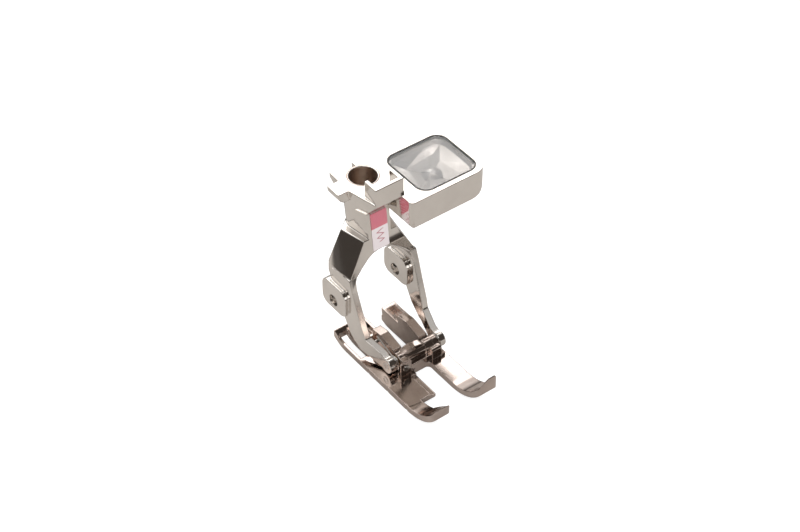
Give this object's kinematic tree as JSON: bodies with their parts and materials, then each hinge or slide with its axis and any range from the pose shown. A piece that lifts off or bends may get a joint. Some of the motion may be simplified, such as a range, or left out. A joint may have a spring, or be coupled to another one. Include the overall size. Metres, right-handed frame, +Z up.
{
  "type": "presser foot",
  "caption": "Hinged patchwork presser foot for a sewing machine: wishbone shank, tilting sole with open toes and a dual feed slot, and a side housing with a clear lens.",
  "frame": {"origin": "axis of the shank bore, in the plane of the head's top face", "axes": "+X to the operator's right (towards the lens housing), +Y towards the back of the machine, +Z up along the bore"},
  "size_m": [0.0322, 0.041, 0.0422],
  "materials": {
    "polished_nickel": "polished plating",
    "sole_nickel": "polished plating, lightly worn",
    "pin_steel": "ground",
    "screw_steel": "blackened",
    "bush_bronze": "machined",
    "spring_steel": "drawn wire",
    "label_print": "printed film",
    "reflector_white": "moulded, glossy",
    "amber_plastic": "moulded, glossy",
    "clear_plastic": "clear, faintly scratched",
    "seal_rubber": "moulded"
  },
  "bodies": {
    "shank": {"shank": "polished_nickel", "hinge_pin": "pin_steel", "spring_anchor_pin": "pin_steel", "label": "label_print", "housing_shell": "polished_nickel", "housing_dowels": "pin_steel", "reflector_insert": "reflector_white", "light_dome": "clear_plastic", "clear_ring": "clear_plastic", "amber_window": "amber_plastic", "lens_seal": "seal_rubber", "lens_cover": "clear_plastic", "shim_washers": "pin_steel", "levelling_spring": "spring_steel"},
    "sole": {"sole_plate": "sole_nickel", "pin_bush_left": "bush_bronze", "pin_bush_right": "bush_bronze", "spring_retainer": "sole_nickel", "retainer_rivet": "pin_steel"},
    "guide_screw_left": {"guide_screw_left": "screw_steel"},
    "guide_screw_right": {"guide_screw_right": "screw_steel"}
  },
  "joints": [
    {"name": "sole_tilt", "type": "hinge", "parent": "shank", "child": "sole", "pos_m": [0, -0.0166, -0.0353], "axis": [1, 0, 0], "range_deg": [-10, 10], "stiffness_Nm_per_rad": 0.03, "deforming": ["levelling_spring"]},
    {"name": "guide_screw_left_turn", "type": "hinge", "parent": "shank", "child": "guide_screw_left", "pos_m": [-0.0078, -0.0019, -0.02696], "axis": [0, 1, 0], "continuous": true},
    {"name": "guide_screw_right_turn", "type": "hinge", "parent": "shank", "child": "guide_screw_right", "pos_m": [0.0078, -0.0019, -0.02696], "axis": [0, 1, 0], "continuous": true}
  ]
}
